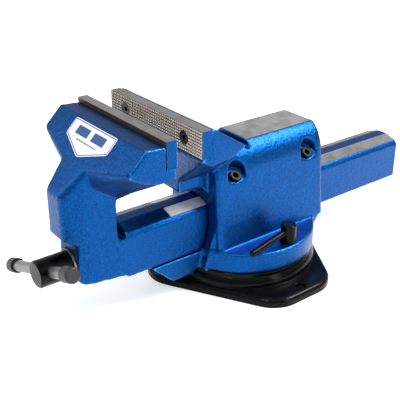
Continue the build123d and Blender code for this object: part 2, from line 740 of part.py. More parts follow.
def export_turned(solid, name):
    """Writes a lock piece, built on the X axis, at its place round the ring."""
    placed = Location((0, 0, 0), (0, 0, lock_angle)) * solid
    placed.label = name
    export_step(placed, f"parts/{name}.step")


for side, word in ((1, "right"), (-1, "left")):
    x = side * slot_r
    with BuildPart() as lock_bolt:
        with BuildSketch(Plane.XY.offset(slot_floor + 0.8)):
            with Locations((x, 0)):
                Rectangle(bolt_head_width, bolt_head_long)
        extrude(amount=slot_roof - face_gap - slot_floor - 0.8)
        with BuildSketch(Plane.XY.offset(slot_floor + 0.8)):
            with Locations((x, 0)):
                Circle(lock_bolt_d / 2)
        extrude(amount=bolt_top - slot_floor - 0.8)
    export_turned(lock_bolt.part, f"lock_bolt_{word}")

    # lever: a rod screwed into the nut's side, sloping down towards its tip
    fall = lever_root_z - lever_tip_z
    rod_root = lock_bolt_d / 2 + 0.6
    rod_dir = Vector(0, -side * (lever_reach - rod_root), -fall).normalized()
    rod_plane = Plane((x, -side * rod_root, lever_root_z), x_dir=(1, 0, 0), z_dir=rod_dir)
    rod_length = hypot(lever_reach - rod_root, fall)
    with BuildPart() as lock_nut:
        with BuildSketch(Plane.XY.offset(disc_top)):
            with Locations((x, 0)):
                Circle(lock_nut_d / 2)
        extrude(amount=lock_nut_height)
        chamfer(lock_nut.faces().sort_by(Axis.Z)[-1].edges(), 1.0)
        with BuildSketch(Plane.XY.offset(disc_top)):
            with Locations((x, 0)):
                Circle(lock_bolt_d / 2 + run_gap)
        extrude(amount=lock_nut_height - 2.5, mode=Mode.SUBTRACT)
        with BuildSketch(rod_plane):
            Circle(lever_d / 2)
        extrude(amount=rod_length, mode=Mode.SUBTRACT)
    export_turned(lock_nut.part, f"lock_nut_{word}")

    with BuildPart() as lock_lever:
        with BuildSketch(rod_plane):
            Circle(lever_d / 2)
        extrude(amount=rod_length)
        fillet(lock_lever.faces().sort_by(Axis.Y)[0 if side > 0 else -1].edges(), 1.2)
    export_turned(lock_lever.part, f"lock_lever_{word}")

# ------------------------------------------------------------------ label on the moving jaw
label_width = 57.0
label_height = 25.5           # down to its point
label_side = 14.0             # height of its straight sides
label_x = -1.0
label_thick = 0.5
label_start = 1.8             # upper edge from the jaw's ridge, down the inclined face
slope = radians(jaw_slope)
label_plane = Plane((label_x, ridge_y - label_start * cos(slope), ridge_z - label_start * sin(slope)),
                    x_dir=(1, 0, 0), z_dir=(0, -sin(slope), cos(slope)))
with BuildPart() as label_plate:
    with BuildSketch(label_plane) as label_outline:
        polygon([(-label_width / 2, 0), (-label_width / 2, -label_side),
                 (0, -label_height), (label_width / 2, -label_side), (label_width / 2, 0)])
        fillet(label_outline.vertices(), 2.5)
    extrude(amount=label_thick)
label_plate.part.label = "label_plate"
export_step(label_plate.part, "parts/label_plate.step")
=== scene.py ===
import json
from math import cos, pi, radians, sin

import bmesh
import bpy
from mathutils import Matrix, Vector

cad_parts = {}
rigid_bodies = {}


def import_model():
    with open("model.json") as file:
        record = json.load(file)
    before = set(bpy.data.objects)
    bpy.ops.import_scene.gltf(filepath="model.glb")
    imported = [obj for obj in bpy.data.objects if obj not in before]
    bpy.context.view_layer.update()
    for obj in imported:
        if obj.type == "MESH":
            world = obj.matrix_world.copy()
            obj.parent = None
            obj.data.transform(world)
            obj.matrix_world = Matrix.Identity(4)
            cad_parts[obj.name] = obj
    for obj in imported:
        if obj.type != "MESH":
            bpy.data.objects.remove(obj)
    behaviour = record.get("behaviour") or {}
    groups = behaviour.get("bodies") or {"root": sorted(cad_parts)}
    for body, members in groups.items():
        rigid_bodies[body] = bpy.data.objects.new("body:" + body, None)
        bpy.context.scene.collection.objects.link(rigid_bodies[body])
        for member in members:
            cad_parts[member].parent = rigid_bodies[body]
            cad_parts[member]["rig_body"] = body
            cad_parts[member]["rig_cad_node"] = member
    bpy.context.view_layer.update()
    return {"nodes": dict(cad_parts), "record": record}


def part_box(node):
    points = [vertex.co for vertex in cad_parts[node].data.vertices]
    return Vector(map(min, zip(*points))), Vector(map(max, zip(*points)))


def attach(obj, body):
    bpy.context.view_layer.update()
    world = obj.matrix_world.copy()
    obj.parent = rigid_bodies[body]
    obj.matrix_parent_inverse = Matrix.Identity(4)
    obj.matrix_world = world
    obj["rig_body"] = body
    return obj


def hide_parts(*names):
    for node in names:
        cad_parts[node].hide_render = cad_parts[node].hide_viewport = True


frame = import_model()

SLOPE = radians(45)

JAW_LO, JAW_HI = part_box("fixed_jaw_plate")
_, MOVE_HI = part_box("moving_jaw_plate")
ANVIL_Z = 0.121
ANVIL_CLEAR_Z = 0.130            # above the anvil, below the jaws
BEHIND_PLATE_Z = 0.1569          # machined top of the fixed jaw, from here up
HIGHEST_Z = 0.170
STRIP_X = (0.0056, 0.0160)       # the guide bar's two sloping strips, by distance from the middle
STRIP_Z = (0.0715, 0.0782)
STRIP_START_Y = (-0.0870, -0.0850)
# front of the strips that takes the painted highlight
STRIP_HIGHLIGHT_Y = (-0.0520, -0.0450)
JAW_RIDGE = (-0.135, 0.1553)     # top edge of the inclined front face, (Y, Z)
LABEL_X = -0.0010
LABEL_HALF = 0.0285
LABEL_START = 0.0018             # below the ridge, down the inclined face
LABEL_SIDE = 0.0140
LABEL_TALL = 0.0255
LABEL_LIFT = 0.0001
LABEL_THICK = 0.0003
LABEL_CORNER = 0.0018

# colours of the finishes, and of painted shade and painted highlight
BLUE_DEEP, BLUE_FULL = (0.0005, 0.032, 0.148, 1), (0.0010, 0.052, 0.212, 1)
BLUE_FLAKE = (0.003, 0.135, 0.450, 1)
# painted shade for the enamel's inner corners
BLUE_CORNER_SHADE = (0.002, 0.020, 0.100, 1)
# brighter blue on edges, for wear and painted highlight
BLUE_EDGE_HIGHLIGHT = (0.035, 0.330, 0.760, 1)
STEEL_TONES = (0.200, 0.198, 0.192), (0.350, 0.346, 0.334)
STEEL_STAIN = (0.235, 0.180, 0.135)
# painted highlight: brighter steel on the front of the bar's strips
STEEL_FRONT_HIGHLIGHT = (0.72, 0.71, 0.69, 1)
PLATE_GREY = (0.42, 0.39, 0.35, 1)
# brighter steel on the plate's edges, for wear and painted highlight
PLATE_EDGE_WEAR_HIGHLIGHT = (0.72, 0.67, 0.60, 1)
# painted shade for the plate's inner corners
PLATE_CORNER_SHADE = (0.030, 0.024, 0.020, 1)
TOOTH_TONES = (0.420, 0.360, 0.310, 1), (0.900, 0.830, 0.760, 1)
# painted shade in the valleys between the teeth
TOOTH_VALLEY_SHADE = (0.060, 0.042, 0.032, 1)


# ---------------------------------------------------------------- node building
class Paint:
    """Nodes of one material or group, added and wired by short calls."""

    def __init__(self, tree):
        self.tree = tree

    def node(self, kind, **settings):
        made = self.tree.nodes.new(kind)
        for name, value in settings.items():
            setattr(made, name, value)
        return made

    def put(self, socket, value):
        if value is None:
            return
        if isinstance(value, bpy.types.NodeSocket):
            self.tree.links.new(value, socket)
        else:
            socket.default_value = value

    def math(self, operation, a, b=None, c=None, clamp=False):
        made = self.node("ShaderNodeMath", operation=operation, use_clamp=clamp)
        for socket, value in zip(made.inputs, (a, b, c)):
            self.put(socket, value)
        return made.outputs[0]

    def noise(self, place, scale, detail=3.0, rough=0.5, distortion=0.0):
        made = self.node("ShaderNodeTexNoise")
        self.put(made.inputs["Vector"], place)
        for name, value in (("Scale", scale), ("Detail", detail), ("Roughness", rough),
                            ("Distortion", distortion)):
            self.put(made.inputs[name], value)
        return made.outputs["Fac"]

    def ramp(self, value, low, high, to_low=0.0, to_high=1.0, smooth=True):
        made = self.node("ShaderNodeMapRange",
                         interpolation_type="SMOOTHSTEP" if smooth else "LINEAR")
        for name, item in (("Value", value), ("From Min", low), ("From Max", high),
                           ("To Min", to_low), ("To Max", to_high)):
            self.put(made.inputs[name], item)
        return made.outputs["Result"]

    def mix(self, mask, a, b):
        made = self.node("ShaderNodeMix", data_type="RGBA")
        for index, value in ((0, mask), (6, a), (7, b)):
            self.put(made.inputs[index], value)
        return made.outputs[2]

    def place(self, scale=(1, 1, 1), turn=(0, 0, 0), shift=(0, 0, 0)):
        coords = self.node("ShaderNodeTexCoord")
        made = self.node("ShaderNodeMapping")
        self.put(made.inputs["Vector"], coords.outputs["Object"])
        made.inputs["Scale"].default_value = scale
        made.inputs["Rotation"].default_value = turn
        made.inputs["Location"].default_value = shift
        return made.outputs["Vector"]

    def xyz(self, vector):
        made = self.node("ShaderNodeSeparateXYZ")
        self.put(made.inputs[0], vector)
        return made.outputs

    def bump(self, height, strength, distance, normal=None):
        made = self.node("ShaderNodeBump")
        for name, value in (("Height", height), ("Strength", strength),
                            ("Distance", distance), ("Normal", normal)):
            self.put(made.inputs[name], value)
        return made.outputs["Normal"]


def new_group(name, inputs, outputs):
    tree = bpy.data.node_groups.new(name, "ShaderNodeTree")
    for label, kind, value in inputs:
        socket = tree.interface.new_socket(label, in_out="INPUT", socket_type=kind)
        socket.default_value = value
    for label, kind in outputs:
        tree.interface.new_socket(label, in_out="OUTPUT", socket_type=kind)
    paint = Paint(tree)
    return paint, paint.node("NodeGroupInput").outputs, paint.node("NodeGroupOutput").inputs


FLOAT = "NodeSocketFloat"


def edge_wear_highlight_shade_group():
    """Mask of outer edges, broken up by grain, for wear and painted highlight; and a painted shade mask
    of inner corners, from ambient occlusion.
    """
    paint, given, result = new_group(
        "edge_wear_highlight_shade",
        [("Width", FLOAT, 0.0008), ("Grain", FLOAT, 300.0), ("Amount", FLOAT, 0.5),
         ("Cast", FLOAT, 0.0)],
        [("EdgeWearHighlight", FLOAT), ("Corner", FLOAT)])
    bevel = paint.node("ShaderNodeBevel", samples=4)
    paint.put(bevel.inputs["Radius"], given["Width"])
    shape = paint.node("ShaderNodeNewGeometry")
    facing = paint.node("ShaderNodeVectorMath", operation="DOT_PRODUCT")
    paint.put(facing.inputs[0], bevel.outputs["Normal"])
    paint.put(facing.inputs[1], shape.outputs["Normal"])
    turned = paint.math("SUBTRACT", 1.0, facing.outputs["Value"])
    grain = paint.noise(paint.place(), given["Grain"], 4.0, 0.6)
    rounded = paint.ramp(shape.outputs["Pointiness"], 0.515, 0.560)
    rounded = paint.math("MULTIPLY", rounded, given["Cast"])
    edge = paint.math("MAXIMUM", paint.ramp(turned, 0.02, 0.16), rounded)
    # edge mask: wear, and a painted highlight on the rims
    edge_wear_and_highlight = paint.math("MULTIPLY", edge, paint.ramp(grain, 0.30, 0.6))
    # ambient occlusion, used as painted shade in inner corners
    corner_shade = paint.node("ShaderNodeAmbientOcclusion", samples=4)
    corner_shade.inputs["Distance"].default_value = 0.006
    paint.put(result["EdgeWearHighlight"], paint.math("MULTIPLY", edge_wear_and_highlight, given["Amount"], clamp=True))
    paint.put(result["Corner"], paint.ramp(corner_shade.outputs["AO"], 0.75, 0.35))
    return paint.tree


def orange_peel_group():
    """Height of sprayed enamel: a fine dimple over a slow wave of the casting's skin."""
    paint, given, result = new_group(
        "orange_peel", [("Dimple", FLOAT, 900.0), ("Wave", FLOAT, 90.0)],
        [("Height", FLOAT), ("Flake", FLOAT)])
    spot = paint.place()
    fine = paint.noise(spot, given["Dimple"], 2.0, 0.5)
    slow = paint.noise(spot, given["Wave"], 3.0, 0.55)
    height = paint.math("ADD", paint.math("MULTIPLY", fine, 0.35), slow)
    paint.put(result["Height"], height)
    flake = paint.noise(spot, 1100.0, 3.0, 0.65)
    paint.put(result["Flake"], paint.ramp(flake, 0.42, 0.66))
    return paint.tree


def machined_group():
    """Lines of a milled or ground face along one direction, with a few deeper marks."""
    paint, given, result = new_group(
        "machined_lines", [("Fine", FLOAT, 1.0)], [("Lines", FLOAT), ("Marks", FLOAT)])
    along = paint.place(scale=(1500, 40, 1500))
    across = paint.place(scale=(40, 500, 500))
    lines = paint.noise(along, given["Fine"], 3.0, 0.65)
    marks = paint.noise(across, given["Fine"], 2.0, 0.7)
    paint.put(result["Lines"], lines)
    paint.put(result["Marks"], paint.ramp(marks, 0.56, 0.75))
    return paint.tree


def dust_group():
    """Pale dust that settles on faces turned upward, in soft patches."""
    paint, given, result = new_group(
        "settled_dust", [("Patch", FLOAT, 40.0), ("Amount", FLOAT, 0.2)], [("Dust", FLOAT)])
    up = paint.xyz(paint.node("ShaderNodeNewGeometry").outputs["Normal"])["Z"]
    patch = paint.noise(paint.place(), given["Patch"], 4.0, 0.65)
    level = paint.math("MULTIPLY", paint.ramp(up, 0.3, 0.95), paint.ramp(patch, 0.35, 0.75))
    paint.put(result["Dust"], paint.math("MULTIPLY", level, given["Amount"], clamp=True))
    return paint.tree


GROUPS = {"edge_wear_highlight_shade": edge_wear_highlight_shade_group(), "orange_peel": orange_peel_group(),
          "machined_lines": machined_group(), "settled_dust": dust_group()}


def use_group(paint, name, **values):
    made = paint.node("ShaderNodeGroup", node_tree=GROUPS[name])
    for label, value in values.items():
        paint.put(made.inputs[label], value)
    return made.outputs


def new_material(name, **fixed):
    """Material with a Principled shader, its steady numbers set on its own sockets."""
    made = bpy.data.materials.new(name)
    made.use_nodes = True
    paint = Paint(made.node_tree)
    shader = made.node_tree.nodes["Principled BSDF"]
    for label, value in fixed.items():
        shader.inputs[label.replace("_", " ")].default_value = value
    return made, paint, shader.inputs


def soft_edges(paint, radius):
    made = paint.node("ShaderNodeBevel", samples=6)
    made.inputs["Radius"].default_value = radius
    return made.outputs["Normal"]


# ---------------------------------------------------------------- finishes
def steel_look(paint, warm=0.5, shade=1.0):
    """Colour, roughness and height of a milled steel face."""
    cut = use_group(paint, "machined_lines", Fine=1.0)
    stain = paint.noise(paint.place(), 60.0, 4.0, 0.6)
    dark, light = ([shade * part for part in tone] + [1] for tone in STEEL_TONES)
    colour = paint.mix(paint.ramp(stain, 0.3, 0.7), dark, light)
    colour = paint.mix(paint.math("MULTIPLY", paint.ramp(stain, 0.52, 0.72), warm), colour,
                       [shade * part for part in STEEL_STAIN] + [1])
    rough = paint.ramp(cut["Lines"], 0.2, 0.8, 0.30, 0.52, smooth=False)
    return colour, rough, cut["Lines"]


def between(paint, value, low, high, soft=0.0004):
    rise = paint.ramp(value, low - soft, low + soft)
    fall = paint.ramp(value, high - soft, high + soft, 1.0, 0.0)
    return paint.math("MULTIPLY", rise, fall)


def blue_tone(paint, wear_highlight_shade, peel):
    """Colour of the sprayed blue: painted shade in inner corners, brighter edges for wear and painted
    highlight, and brighter flakes.
    """
    tone = paint.noise(paint.place(), 26.0, 3.0, 0.5)
    blue = paint.mix(tone, BLUE_DEEP, BLUE_FULL)
    blue = paint.mix(paint.math("MULTIPLY", peel["Flake"], 0.45), blue, BLUE_FLAKE)
    # painted shade in inner corners
    blue = paint.mix(wear_highlight_shade["Corner"], blue, BLUE_CORNER_SHADE)
    # brighter edges: wear, and painted highlight
    return paint.mix(wear_highlight_shade["EdgeWearHighlight"], blue, BLUE_EDGE_HIGHLIGHT)


def enamel(name, bare, highlighted, dull, warm, shade):
    """Blue sprayed enamel with bare steel under the mask bare(paint), and brighter steel as a painted
    highlight under the second mask.
    """
    made, paint, into = new_material(name, IOR=1.35, Coat_Roughness=0.14, Coat_IOR=1.35)
    wear_highlight_shade = use_group(paint, "edge_wear_highlight_shade", Width=0.0016, Grain=420.0, Amount=0.75, Cast=1.0)
    peel = use_group(paint, "orange_peel", Dimple=820.0, Wave=330.0)
    mask = bare(paint)
    steel, steel_rough, lines = steel_look(paint, warm, shade)
    # painted highlight: brighter steel under the second mask
    steel = paint.mix(highlighted(paint), steel, STEEL_FRONT_HIGHLIGHT)
    paint.put(into["Base Color"], paint.mix(mask, blue_tone(paint, wear_highlight_shade, peel), steel))
    gloss = paint.ramp(peel["Height"], 0.3, 1.0, 0.30, 0.44, smooth=False)
    painted = paint.math("SUBTRACT", 1.0, mask)
    paint.put(into["Roughness"], paint.math(
        "ADD", paint.math("MULTIPLY", steel_rough, mask), paint.math("MULTIPLY", gloss, painted)))
    paint.put(into["Metallic"], paint.math("SUBTRACT", 0.97, paint.math("MULTIPLY", mask, dull)))
    paint.put(into["Coat Weight"], paint.math("MULTIPLY", painted, 0.08))
    soft = soft_edges(paint, 0.0012)
    skin = paint.bump(paint.math("MULTIPLY", peel["Height"], painted), 0.75, 0.0006, soft)
    paint.put(into["Normal"], paint.bump(paint.math("MULTIPLY", lines, mask), 0.25, 0.0001, skin))
    return made


def anvil_bare(paint):
    """Machined parts of the fixed casting: the anvil's top and the jaw's top behind the plate."""
    at = paint.xyz(paint.place())
    up = paint.xyz(paint.node("ShaderNodeNewGeometry").outputs["Normal"])["Z"]
    level = paint.ramp(up, 0.97, 0.995)
    anvil = paint.math("MULTIPLY", level, between(paint, at["Z"], ANVIL_Z - 0.0006, ANVIL_CLEAR_Z))
    jaw = paint.math("MULTIPLY", level, between(paint, at["Z"], BEHIND_PLATE_Z, HIGHEST_Z, 0.0001))
    return paint.math("MAXIMUM", anvil, jaw)


def bar_bare(paint):
    """Machined parts of the moving casting: the bar's two sloping strips."""
    at = paint.xyz(paint.place())
    side = paint.math("ABSOLUTE", at["X"])
    strip = paint.math("MULTIPLY", between(paint, side, *STRIP_X),
                       between(paint, at["Z"], *STRIP_Z))
    reach = paint.ramp(at["Y"], *STRIP_START_Y)
    strip = paint.math("MULTIPLY", strip, reach)
    up = paint.xyz(paint.node("ShaderNodeNewGeometry").outputs["Normal"])["Z"]
    return paint.math("MULTIPLY", strip, paint.ramp(up, 0.80, 0.90))


def bar_front_highlight(paint):
    """Painted highlight: brighter steel on the front of the strips, where they lie in the shadow of the
    jaws.
    """
    return paint.ramp(paint.xyz(paint.place())["Y"], *STRIP_HIGHLIGHT_Y, 1.0, 0.0)


def jaw_steel():
    """Hardened jaw plate: browned teeth, ground top, and enamel sprayed over its two ends."""
    made, paint, into = new_material("jaw_steel_ground")
    colour, rough, lines = steel_look(paint, 0.6)
    wear_highlight_shade = use_group(paint, "edge_wear_highlight_shade", Width=0.0004, Grain=700.0, Amount=0.8)
    peel = use_group(paint, "orange_peel", Dimple=820.0, Wave=330.0)
    face = paint.xyz(paint.node("ShaderNodeNewGeometry").outputs["Normal"])
    toothed = paint.ramp(paint.math("ABSOLUTE", face["Y"]), 0.25, 0.60)
    end = paint.ramp(paint.math("ABSOLUTE", face["X"]), 0.93, 0.98)
    teeth_tone_and_shade = paint.mix(paint.noise(paint.place(), 120.0, 4.0, 0.6), *TOOTH_TONES)
    colour = paint.mix(0.35, colour, PLATE_GREY)
    gap_middle, gap_half = (JAW_LO.y + MOVE_HI.y) / 2, (JAW_LO.y - MOVE_HI.y) / 2
    from_middle = paint.math("SUBTRACT", paint.xyz(paint.place())["Y"], gap_middle)
    depth = paint.math("SUBTRACT", paint.math("ABSOLUTE", from_middle), gap_half)
    # painted shade: valleys between the teeth darker by depth
    teeth_tone_and_shade = paint.mix(paint.ramp(depth, 0.0001, 0.0007), teeth_tone_and_shade, TOOTH_VALLEY_SHADE)
    colour = paint.mix(toothed, colour, teeth_tone_and_shade)
    # painted shade in inner corners
    colour = paint.mix(wear_highlight_shade["Corner"], colour, PLATE_CORNER_SHADE)
    # brighter edges: wear, and painted highlight
    colour = paint.mix(wear_highlight_shade["EdgeWearHighlight"], colour, PLATE_EDGE_WEAR_HIGHLIGHT)
    # edge wear, edge highlight and corner shade masks for the blue-painted ends
    end_wear_highlight_shade = use_group(paint, "edge_wear_highlight_shade", Width=0.0004, Grain=420.0, Amount=0.12)
    paint.put(into["Base Color"], paint.mix(end, colour, blue_tone(paint, end_wear_highlight_shade, peel)))
    paint.put(into["Roughness"], paint.math("ADD", rough, paint.math("MULTIPLY", toothed, 0.10)))
    paint.put(into["Metallic"], paint.math("SUBTRACT", 0.97, paint.math("MULTIPLY", toothed, 0.40)))
    paint.put(into["Normal"], paint.bump(lines, 0.2, 0.0001))
    return made


def plain_steel(name, dark, light, rough_low, rough_high, lined=True):
    made, paint, into = new_material(name, Metallic=1.0)
    wear_highlight_shade = use_group(paint, "edge_wear_highlight_shade", Width=0.0005, Grain=700.0, Amount=0.5)
    cloud = paint.noise(paint.place(), 140.0, 4.0, 0.6)
    colour = paint.mix(cloud, dark, light)
    # painted shade: darker steel in inner corners
    colour = paint.mix(wear_highlight_shade["Corner"], colour, tuple(c * 0.4 for c in dark[:3]) + (1,))
    # brighter steel on edges, for wear and painted highlight
    colour = paint.mix(wear_highlight_shade["EdgeWearHighlight"], colour, tuple(min(1, c * 1.9) for c in light[:3]) + (1,))
    paint.put(into["Base Color"], colour)
    paint.put(into["Roughness"], paint.ramp(cloud, 0.3, 0.7, rough_low, rough_high))
    height = cloud if not lined else use_group(paint, "machined_lines", Fine=1.0)["Lines"]
    paint.put(into["Normal"], paint.bump(height, 0.2, 0.0001, soft_edges(paint, 0.0004)))
    return made


def black_enamel():
    made, paint, into = new_material("black_enamel_gloss", IOR=1.14, Coat_Roughness=0.06, Coat_IOR=1.30)
    peel = use_group(paint, "orange_peel", Dimple=800.0, Wave=70.0)
    dust = use_group(paint, "settled_dust", Patch=45.0, Amount=0.015)
    wear_highlight_shade = use_group(paint, "edge_wear_highlight_shade", Width=0.0009, Grain=380.0, Amount=0.15)
    colour = paint.mix(peel["Flake"], (0.0012, 0.0012, 0.0014, 1), (0.0030, 0.0030, 0.0033, 1))
    # lighter edges: wear, and painted highlight
    colour = paint.mix(wear_highlight_shade["EdgeWearHighlight"], colour, (0.055, 0.055, 0.060, 1))
    colour = paint.mix(dust["Dust"], colour, (0.16, 0.16, 0.17, 1))
    paint.put(into["Base Color"], colour)
    paint.put(into["Roughness"], paint.ramp(peel["Height"], 0.3, 1.0, 0.14, 0.24))
    paint.put(into["Coat Weight"], paint.ramp(peel["Height"], 0.3, 1.0, 0.24, 0.12))
    paint.put(into["Normal"], paint.bump(peel["Height"], 0.4, 0.0005, soft_edges(paint, 0.0016)))
    return made


def cap_plastic():
    made, paint, into = new_material("cap_plastic_satin", IOR=1.46)
    fine = paint.noise(paint.place(), 1800.0, 2.0, 0.6)
    colour = paint.mix(fine, (0.010, 0.010, 0.011, 1), (0.022, 0.022, 0.023, 1))
    paint.put(into["Base Color"], colour)
    paint.put(into["Roughness"], paint.ramp(fine, 0.3, 0.7, 0.38, 0.55))
    paint.put(into["Normal"], paint.bump(fine, 0.15, 0.0001, soft_edges(paint, 0.0008)))
    return made


def label_face():
    """White film with a plain emblem: a blue border, two facing blocks and a grey rule."""
    made, paint, into = new_material("label_film", IOR=1.48)
    at = paint.xyz(paint.place())
    across = paint.math("SUBTRACT", at["X"], LABEL_X)
    down = paint.math("MULTIPLY", paint.math(
        "SUBTRACT", JAW_RIDGE[1] + JAW_RIDGE[0], paint.math("ADD", at["Y"], at["Z"])), cos(SLOPE))
    line = 0.00012
    from_side = paint.math("SUBTRACT", LABEL_HALF, paint.math("ABSOLUTE", across))
    slant = paint.math("SUBTRACT", LABEL_START + LABEL_TALL,
                       paint.math("ADD", down, paint.math("MULTIPLY", paint.math(
                           "ABSOLUTE", across), (LABEL_TALL - LABEL_SIDE) / LABEL_HALF)))
    inset = paint.math("MINIMUM", from_side, paint.math("MULTIPLY", slant, 0.92))
    inset = paint.math("MINIMUM", inset, paint.math("SUBTRACT", down, LABEL_START))
    border = between(paint, inset, 0.0007, 0.0014, line)
    block = paint.math(
        "MULTIPLY", between(paint, paint.math("ABSOLUTE", across), 0.0026, 0.0190, line),
        between(paint, down, LABEL_START + 0.0040, LABEL_START + 0.0110, line))
    rule = paint.math(
        "MULTIPLY", paint.ramp(paint.math("ABSOLUTE", across), 0.0130, 0.0134, 1.0, 0.0),
        between(paint, down, LABEL_START + 0.0138, LABEL_START + 0.0148, line))
    fibre = paint.noise(paint.place(), 900.0, 3.0, 0.6)
    film = paint.mix(fibre, (0.66, 0.69, 0.74, 1), (0.80, 0.82, 0.85, 1))
    film = paint.mix(paint.math("MAXIMUM", border, block), film, (0.002, 0.060, 0.215, 1))
    film = paint.mix(rule, film, (0.16, 0.17, 0.19, 1))
    paint.put(into["Base Color"], film)
    paint.put(into["Roughness"], paint.ramp(fibre, 0.3, 0.7, 0.30, 0.46))
    paint.put(into["Normal"], paint.bump(fibre, 0.08, 0.0001))
    return made


STEEL = {
    "bright": plain_steel(
        "bright_steel_turned", (0.16, 0.155, 0.15, 1), (0.27, 0.262, 0.252, 1), 0.28, 0.42),
    "screw": plain_steel(
        "screw_steel_dark", (0.020, 0.020, 0.020, 1), (0.050, 0.049, 0.048, 1), 0.36, 0.52),
    "black": plain_steel(
        "black_steel_oiled", (0.005, 0.0048, 0.0045, 1), (0.014, 0.0135, 0.013, 1), 0.24, 0.38, False),
    "bronze": plain_steel(
        "bronze_turned", (0.22, 0.15, 0.07, 1), (0.36, 0.26, 0.13, 1), 0.34, 0.50),
}
FIXED_BLUE = enamel("blue_enamel_fixed", anvil_bare, lambda paint: 0.0, 0.39, 0.5, 1.0)
MOVING_BLUE = enamel("blue_enamel_moving", bar_bare, bar_front_highlight, 0.78, 0.9, 0.52)
SLOT_LOOK = {
    "jaw_steel": jaw_steel(), "screw_steel": STEEL["screw"], "black_enamel": black_enamel(),
    "black_steel": STEEL["black"], "bright_steel": STEEL["bright"], "bronze": STEEL["bronze"],
    "cap_plastic": cap_plastic(), "label": label_face()}
NODE_LOOK = {"body_casting": FIXED_BLUE, "moving_jaw": MOVING_BLUE,
             "guide_screws_right": STEEL["black"], "guide_screws_left": STEEL["black"]}
NODE_SLOT = {part["node"]: part["material_slot"] for part in frame["record"]["subparts"]}
for name, piece in frame["nodes"].items():
    look = NODE_LOOK.get(name) or SLOT_LOOK[NODE_SLOT[name]]
    piece.data.materials.clear()
    piece.data.materials.append(look)


# ---------------------------------------------------------------- edit-mode tools
def deselect():
    bpy.ops.object.select_all(action="DESELECT")


def only(piece):
    deselect()
    piece.select_set(True)
    bpy.context.view_layer.objects.active = piece


def edit(piece):
    only(piece)
    bpy.ops.object.mode_set(mode="EDIT")
    bpy.ops.mesh.select_all(action="DESELECT")


def pick(piece, test, kind="FACE"):
    """Selects the faces or edges that a test on their middle and normal takes."""
    bpy.context.tool_settings.mesh_select_mode = (False, kind == "EDGE", kind == "FACE")
    mesh = bmesh.from_edit_mesh(piece.data)
    for face in mesh.faces:
        face.select_set(False)
    for edge in mesh.edges:
        edge.select_set(False)
    items = mesh.faces if kind == "FACE" else mesh.edges
    for item in items:
        middle = sum((v.co for v in item.verts), Vector()) / len(item.verts)
        item.select_set(bool(test(middle, item)))
    mesh.select_flush_mode()
    bmesh.update_edit_mesh(piece.data)


def leave():
    bpy.ops.object.mode_set(mode="OBJECT")


def settle(piece):
    """Place, turn and size go into the mesh, and the object goes back to the origin."""
    only(piece)
    bpy.ops.object.transform_apply(location=True, rotation=True, scale=True)


def named(name, body, look):
    piece = bpy.context.object
    piece.name = name
    piece.data.name = name
    settle(piece)
    piece.data.materials.clear()
    piece.data.materials.append(look)
    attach(piece, body)
    return piece


# ---------------------------------------------------------------- castings with soft edges
def apply_modifier(piece, kind, **settings):
    only(piece)
    made = piece.modifiers.new(kind.lower(), kind)
    for label, value in settings.items():
        setattr(made, label, value)
    bpy.ops.object.modifier_apply(modifier=made.name)


VOXEL = 0.0009
ROUNDS = 5


def softened(node, body, look, keep, *rounder):
    """Copy of a casting with corners rounded as by a sand mould.

    keep is the share of faces left; rounder pairs a test on a place with extra smoothing there.
    """
    piece = frame["nodes"][node].copy()
    piece.data = piece.data.copy()
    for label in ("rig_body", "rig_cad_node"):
        if label in piece:
            del piece[label]
    piece.name = piece.data.name = node + "_cast"
    bpy.context.scene.collection.objects.link(piece)
    piece.parent = None
    only(piece)
    bpy.ops.object.mode_set(mode="EDIT")
    bpy.ops.mesh.select_all(action="SELECT")
    bpy.ops.mesh.remove_doubles(threshold=0.00001)
    leave()
    apply_modifier(piece, "REMESH", mode="VOXEL", voxel_size=VOXEL)
    apply_modifier(piece, "SMOOTH", factor=0.5, iterations=ROUNDS)
    for inside, more in zip(rounder[::2], rounder[1::2]):
        group = piece.vertex_groups.new(name="rounder")
        group.add([v.index for v in piece.data.vertices if inside(v.co)], 1.0, "REPLACE")
        apply_modifier(piece, "SMOOTH", factor=0.5, iterations=more, vertex_group=group.name)
    apply_modifier(piece, "DECIMATE", ratio=keep)
    piece.vertex_groups.clear()
    bpy.ops.object.shade_smooth()
    piece.data.materials.clear()
    piece.data.materials.append(look)
    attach(piece, body)
    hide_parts(node)
    return piece


def on_flanks(at):
    """Sides of the block, outside the machined anvil and below it."""
    return at.z < 0.1185 and abs(at.x) > 0.0205


def on_rear_corners(at):
    return 0.0400 < at.z < 0.1120 and abs(at.x) > 0.0240 and at.y > 0.0500


def on_jaw_front(at):
    """Front of the moving jaw, below its ridge and ahead of the plate's seat."""
    return at.y < -0.1285 and at.z < 0.1550


def on_neck(at):
    return at.y < -0.1480 and 0.0830 < at.z < 0.1420


softened("body_casting", "body", FIXED_BLUE, 0.42, on_flanks, 12, on_rear_corners, 26)
softened("moving_jaw", "slide", MOVING_BLUE, 0.33, on_jaw_front, 14, on_neck, 34)


# ---------------------------------------------------------------- serrated jaw plates
TOOTH = 0.0023
TOOTH_DEEP = 0.0009
SINK_R = 0.0059                  # countersink and hole of the jaw screws
HOLE_R = 0.00305
SEAT_SIDES = 40
PAST_FACE = 0.002                # how far the screw hole's cutter runs out past the two faces
PAST_BACK = 0.012
SCREW_X = 0.32 * (JAW_HI.x - JAW_LO.x)


